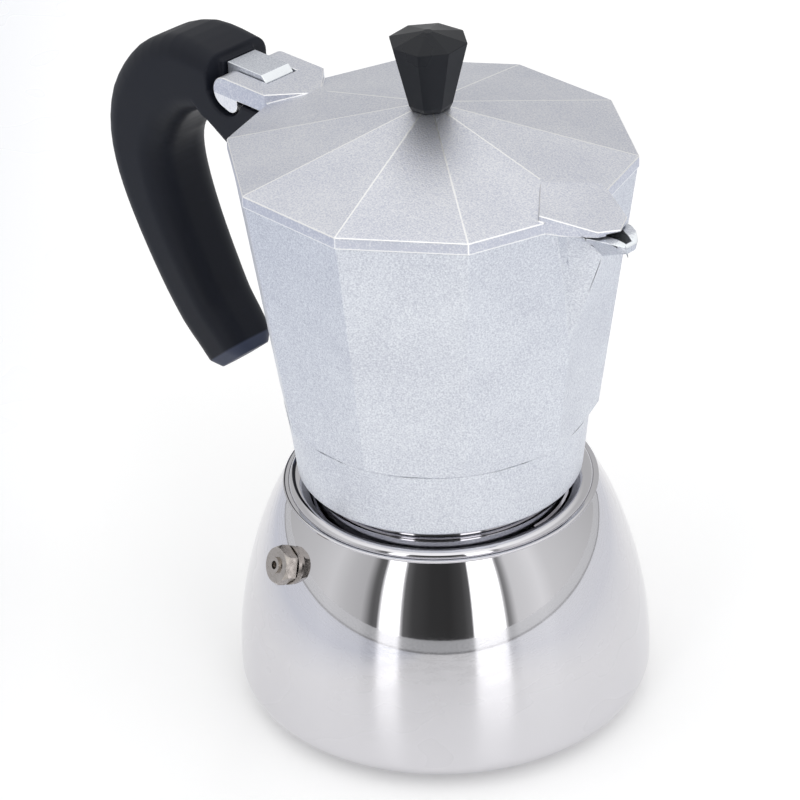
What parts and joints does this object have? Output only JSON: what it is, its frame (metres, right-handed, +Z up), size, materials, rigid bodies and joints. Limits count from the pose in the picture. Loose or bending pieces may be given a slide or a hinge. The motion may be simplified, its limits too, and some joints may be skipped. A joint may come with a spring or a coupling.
{
  "type": "moka pot",
  "caption": "Stovetop moka pot: domed steel boiler, faceted aluminium collector with spout and hinged lid, black handle and knob, funnel, gasket and filter inside.",
  "frame": {"origin": "centre of the boiler's flat bottom, on the surface that the pot stands on", "axes": "+Z up; +X towards the pouring spout; the handle and lid hinge are on the -X side; the safety valve faces -Y"},
  "size_m": [0.1828, 0.1106, 0.1901],
  "materials": {
    "mirror_steel": "mirror polished stainless steel",
    "base_plate": "turned stainless steel",
    "cast_aluminium": "fine blasted satin",
    "sheet_aluminium": "spun satin",
    "core_aluminium": "as rolled",
    "black_plastic": "moulded satin black",
    "knob_plastic": "moulded semi-gloss black",
    "valve_metal": "nickel plated brass",
    "seal_rubber": "matt white silicone",
    "fastener_steel": "zinc plated"
  },
  "bodies": {
    "boiler": {"boiler_shell": "mirror_steel", "neck_ring": "mirror_steel", "heat_spreader": "core_aluminium", "base_cap": "base_plate", "valve_flange": "valve_metal", "valve_body": "valve_metal", "valve_nut": "valve_metal", "valve_spring": "fastener_steel"},
    "relief": {"valve_pin": "valve_metal"},
    "funnel": {"funnel_basket": "sheet_aluminium", "funnel_tube": "sheet_aluminium", "funnel_screen": "sheet_aluminium"},
    "seal": {"gasket": "seal_rubber", "filter_plate": "sheet_aluminium"},
    "collector": {"collector": "cast_aluminium", "hinge_pin": "fastener_steel", "handle": "black_plastic", "handle_screw": "fastener_steel"},
    "lid": {"lid": "cast_aluminium", "knob": "knob_plastic", "knob_washer": "fastener_steel", "knob_screw": "fastener_steel"}
  },
  "joints": [
    {"name": "funnel_lift", "type": "slide", "parent": "boiler", "child": "funnel", "axis": [0, 0, 1], "range_m": [0, 0.075]},
    {"name": "collector_lift", "type": "slide", "parent": "funnel", "child": "seal", "axis": [0, 0, 1], "range_m": [0, 0.0097]},
    {"name": "collector_unscrew", "type": "hinge", "parent": "seal", "child": "collector", "pos_m": [0, 0, 0.0792], "axis": [0, 0, 1], "range_deg": [0, 1080]},
    {"name": "lid_hinge", "type": "hinge", "parent": "collector", "child": "lid", "pos_m": [-0.0644, 0, 0.1566], "axis": [0, -1, 0], "range_deg": [0, 95]},
    {"name": "relief_slide", "type": "slide", "parent": "boiler", "child": "relief", "axis": [-0.21, -0.9097, 0.3584], "range_m": [0, 0.0015], "stiffness_N_per_m": 400, "springref_m": -0.001, "deforming": ["valve_spring"]}
  ],
  "couplings": [
    {"joint": "collector_lift", "follows": "collector_unscrew", "m_per_rad": 0.0005093}
  ]
}
